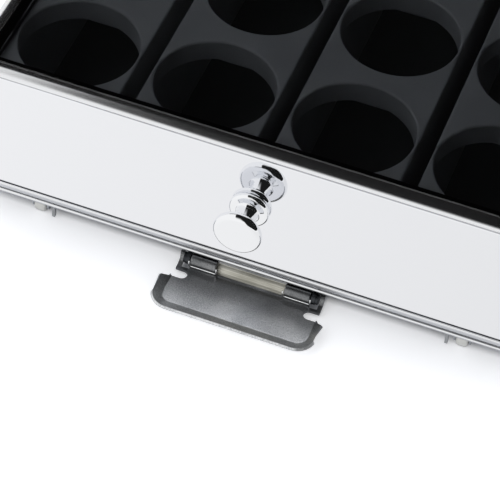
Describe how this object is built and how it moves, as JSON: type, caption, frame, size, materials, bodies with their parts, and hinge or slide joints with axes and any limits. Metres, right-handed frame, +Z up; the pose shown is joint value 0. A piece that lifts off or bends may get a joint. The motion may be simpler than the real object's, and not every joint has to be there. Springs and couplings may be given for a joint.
{
  "type": "coffee pod drawer",
  "caption": "Low rolling drawer with a chrome front, a turned knob, racks of round pod sockets, a glass top for the coffee maker and a finger lever that lowers front wheels.",
  "frame": {"origin": "on the table, at the middle of the width and of the whole depth, lever included", "axes": "+Z up, +Y towards the back, -Y towards the user, X across the front"},
  "size_m": [0.2318, 0.3682, 0.0724],
  "materials": {
    "chrome_frame": "bright chrome plate on steel",
    "chrome_panel": "mirror chrome plate on steel",
    "chrome_knob": "mirror chrome plate on a turned knob",
    "body_sheet": "chrome plate on folded sheet",
    "base_sheet": "satin silver paint on sheet",
    "glass": "clear tempered glass",
    "seal": "matte",
    "zinc_steel": "zinc plated",
    "lever_steel": "satin, lightly brushed",
    "rack_plastic": "fine moulded grain",
    "tray_sheet": "black powder coat",
    "wheel_plastic": "moulded, slightly glossy",
    "foot_rubber": "matte",
    "screw_steel": "bright zinc"
  },
  "bodies": {
    "body": {"top_frame": "chrome_frame", "glass_top": "glass", "glass_seal": "seal", "side_panel_left": "body_sheet", "side_panel_right": "body_sheet", "back_panel": "body_sheet", "base_pan": "base_sheet", "sill": "chrome_frame", "runner_left": "zinc_steel", "runner_right": "zinc_steel", "front_roller_pins": "screw_steel", "rear_bumpers": "foot_rubber", "lever_bracket": "lever_steel", "lever_pins": "screw_steel", "axle_guides": "zinc_steel", "front_feet": "foot_rubber", "foot_screws": "screw_steel", "rear_wheel_bracket_left": "zinc_steel", "rear_wheel_bracket_right": "zinc_steel", "rear_axles": "screw_steel", "frame_screws": "screw_steel", "base_screws": "screw_steel", "runner_rivets": "screw_steel", "bracket_rivets": "screw_steel"},
    "drawer": {"drawer_tray": "tray_sheet", "front_panel": "chrome_panel", "knob": "chrome_knob", "knob_screw": "screw_steel", "panel_screws": "screw_steel", "pod_rack_1": "rack_plastic", "pod_rack_2": "rack_plastic", "pod_rack_3": "rack_plastic", "pod_rack_4": "rack_plastic", "drawer_rail_left": "zinc_steel", "drawer_rail_right": "zinc_steel", "rail_rivets": "screw_steel", "rear_roller_pins": "screw_steel"},
    "front_roller_left": {"front_roller_left": "wheel_plastic"},
    "front_roller_right": {"front_roller_right": "wheel_plastic"},
    "rear_roller_left": {"rear_roller_left": "wheel_plastic"},
    "rear_roller_right": {"rear_roller_right": "wheel_plastic"},
    "lever": {"lever_plate": "lever_steel", "wheel_axle": "screw_steel", "axle_clips": "screw_steel"},
    "front_wheel_left": {"front_wheel_left": "wheel_plastic"},
    "front_wheel_right": {"front_wheel_right": "wheel_plastic"},
    "rear_wheel_left": {"rear_wheel_left": "wheel_plastic"},
    "rear_wheel_right": {"rear_wheel_right": "wheel_plastic"}
  },
  "joints": [
    {"name": "drawer_slide", "type": "slide", "parent": "body", "child": "drawer", "axis": [0, -1, 0], "range_m": [0, 0.27]},
    {"name": "front_roller_left_spin", "type": "hinge", "parent": "body", "child": "front_roller_left", "pos_m": [-0.1108, -0.13895, 0.0276], "axis": [1, 0, 0], "continuous": true},
    {"name": "rear_roller_left_spin", "type": "hinge", "parent": "drawer", "child": "rear_roller_left", "pos_m": [-0.1108, 0.16685, 0.0263], "axis": [1, 0, 0], "continuous": true},
    {"name": "front_roller_right_spin", "type": "hinge", "parent": "body", "child": "front_roller_right", "pos_m": [0.1108, -0.13895, 0.0276], "axis": [1, 0, 0], "continuous": true},
    {"name": "rear_roller_right_spin", "type": "hinge", "parent": "drawer", "child": "rear_roller_right", "pos_m": [0.1108, 0.16685, 0.0263], "axis": [1, 0, 0], "continuous": true},
    {"name": "lever_lift", "type": "hinge", "parent": "body", "child": "lever", "pos_m": [0.0028, -0.15725, 0.0055], "axis": [-1, 0, 0], "range_deg": [0, 15]},
    {"name": "front_wheel_left_spin", "type": "hinge", "parent": "lever", "child": "front_wheel_left", "pos_m": [-0.0855, -0.15135, 0.0044], "axis": [1, 0, 0], "continuous": true},
    {"name": "rear_wheel_left_spin", "type": "hinge", "parent": "body", "child": "rear_wheel_left", "pos_m": [-0.0855, 0.16125, 0.004], "axis": [1, 0, 0], "continuous": true},
    {"name": "front_wheel_right_spin", "type": "hinge", "parent": "lever", "child": "front_wheel_right", "pos_m": [0.0855, -0.15135, 0.0044], "axis": [1, 0, 0], "continuous": true},
    {"name": "rear_wheel_right_spin", "type": "hinge", "parent": "body", "child": "rear_wheel_right", "pos_m": [0.0855, 0.16125, 0.004], "axis": [1, 0, 0], "continuous": true}
  ],
  "couplings": [
    {"joint": "front_roller_left_spin", "follows": "drawer_slide", "rad_per_m": 250},
    {"joint": "rear_roller_left_spin", "follows": "drawer_slide", "rad_per_m": 250},
    {"joint": "front_roller_right_spin", "follows": "drawer_slide", "rad_per_m": 250},
    {"joint": "rear_roller_right_spin", "follows": "drawer_slide", "rad_per_m": 250}
  ]
}
